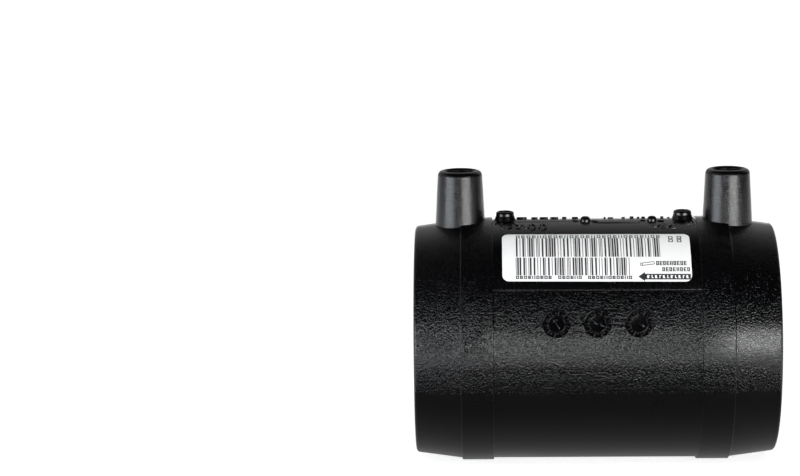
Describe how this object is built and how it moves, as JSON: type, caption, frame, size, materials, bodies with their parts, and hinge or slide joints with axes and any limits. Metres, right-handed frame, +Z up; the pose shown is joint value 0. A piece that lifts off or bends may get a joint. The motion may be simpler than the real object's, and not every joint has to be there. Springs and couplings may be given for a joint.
{
  "type": "electrofusion coupler",
  "caption": "Straight black plastic pipe coupler with a heating wire in its bore, shrouded terminals, fusion indicators and a label.",
  "frame": {"origin": "centre of the bore at mid-length, where the two pipe ends meet", "axes": "+X along the bore to the right-hand socket, +Z up through the terminals, -Y towards the label"},
  "size_m": [0.1202, 0.082, 0.0985],
  "materials": {
    "black_polyethylene": "moulded grain",
    "resistance_wire": "drawn wire",
    "pin_brass": "turned",
    "indicator_plastic": "smooth",
    "label_film": "satin film"
  },
  "bodies": {
    "root": {"coupler_body": "black_polyethylene", "heating_wire": "resistance_wire", "terminal_pin_left": "pin_brass", "terminal_pin_right": "pin_brass", "fusion_indicator_left": "indicator_plastic", "fusion_indicator_right": "indicator_plastic", "barcode_label": "label_film"}
  },
  "joints": []
}
